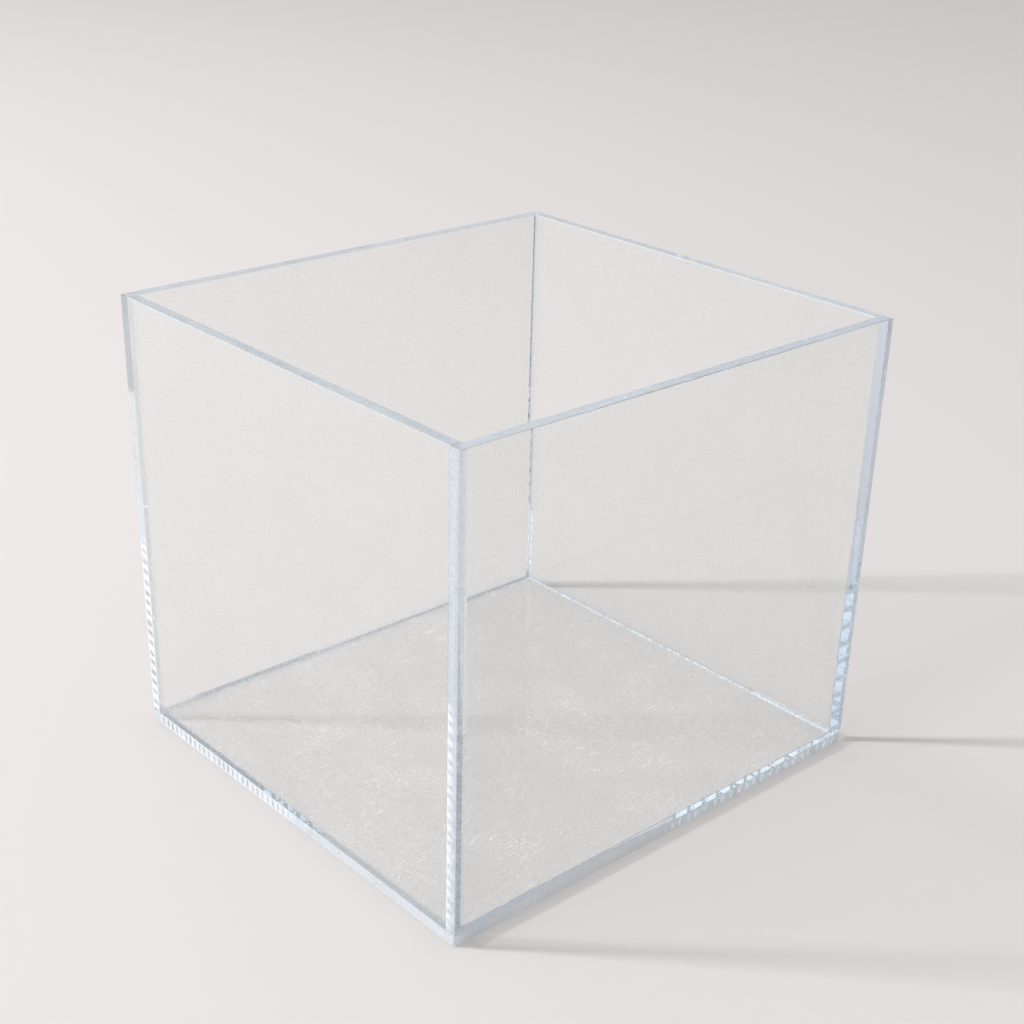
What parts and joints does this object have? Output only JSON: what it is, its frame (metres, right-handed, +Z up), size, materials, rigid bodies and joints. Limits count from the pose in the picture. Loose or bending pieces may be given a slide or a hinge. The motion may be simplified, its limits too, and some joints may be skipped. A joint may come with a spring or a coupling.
{
  "type": "open-topped display cube",
  "caption": "Open-topped clear acrylic display box: flat base sheet, upright walls cemented edge to face, sawn edges.",
  "frame": {"origin": "centre of the underside", "axes": "+Z up out of the open top, +X along the width, +Y to the back"},
  "size_m": [0.2, 0.187, 0.175],
  "materials": {
    "wall_sheet": "clear cast acrylic, polished faces, sawn and scraped edges with a pale blue tint",
    "base_sheet": "clear cast acrylic, light dust and hairline scratches, sawn edges",
    "cement": "clear solvent cement, a thin film with a small bead on the inside"
  },
  "bodies": {
    "root": {"base_panel": "base_sheet", "front_wall": "wall_sheet", "back_wall": "wall_sheet", "left_wall": "wall_sheet", "right_wall": "wall_sheet", "seam_front_left": "cement", "seam_front_right": "cement", "seam_back_left": "cement", "seam_back_right": "cement", "seam_base_front": "cement", "seam_base_back": "cement", "seam_base_left": "cement", "seam_base_right": "cement"}
  },
  "joints": []
}
